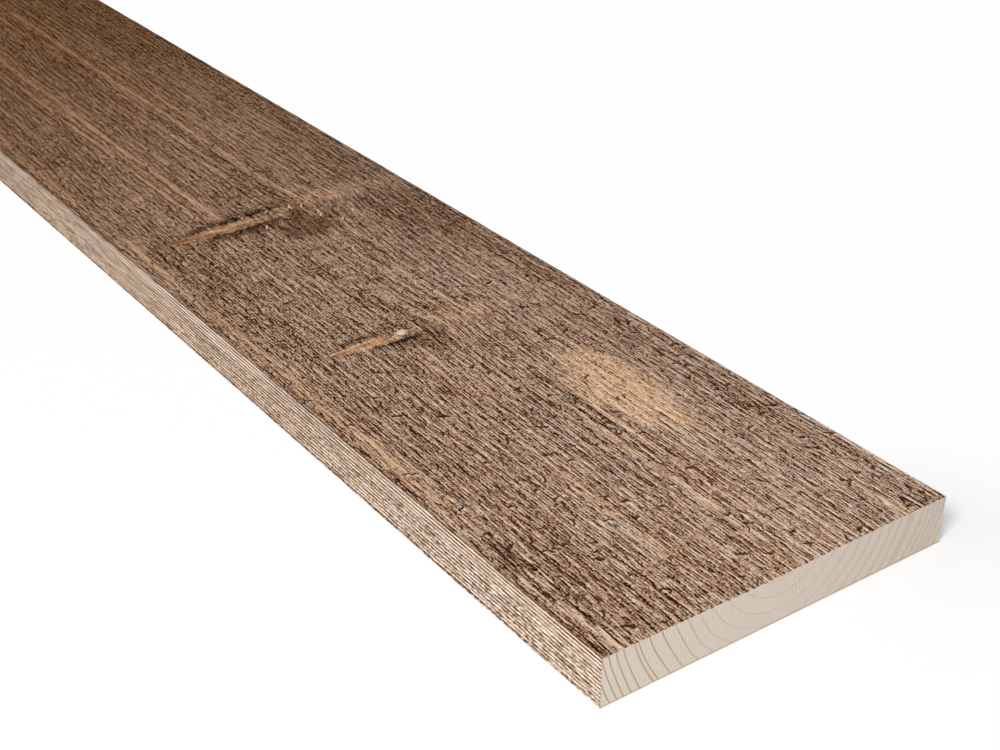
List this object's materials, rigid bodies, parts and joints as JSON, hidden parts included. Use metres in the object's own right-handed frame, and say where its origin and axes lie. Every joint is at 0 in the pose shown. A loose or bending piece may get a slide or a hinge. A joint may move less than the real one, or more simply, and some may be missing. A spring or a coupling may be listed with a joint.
{
  "type": "cladding board",
  "caption": "Rectangular sawn softwood cladding board, brown stained, with a rough grooved weather face, eased arrises and square cut ends, for covering an outside wall.",
  "frame": {"origin": "on the back, under the middle of the board", "axes": "+X along the length, +Y across the width, +Z from the back to the weather face; the board lies flat on its back"},
  "size_m": [2.4, 0.148, 0.019],
  "materials": {
    "stained_spruce": "fine sawn spruce with a matt brown stain, its cut ends bare"
  },
  "bodies": {
    "root": {"cladding_board": "stained_spruce"}
  },
  "joints": []
}
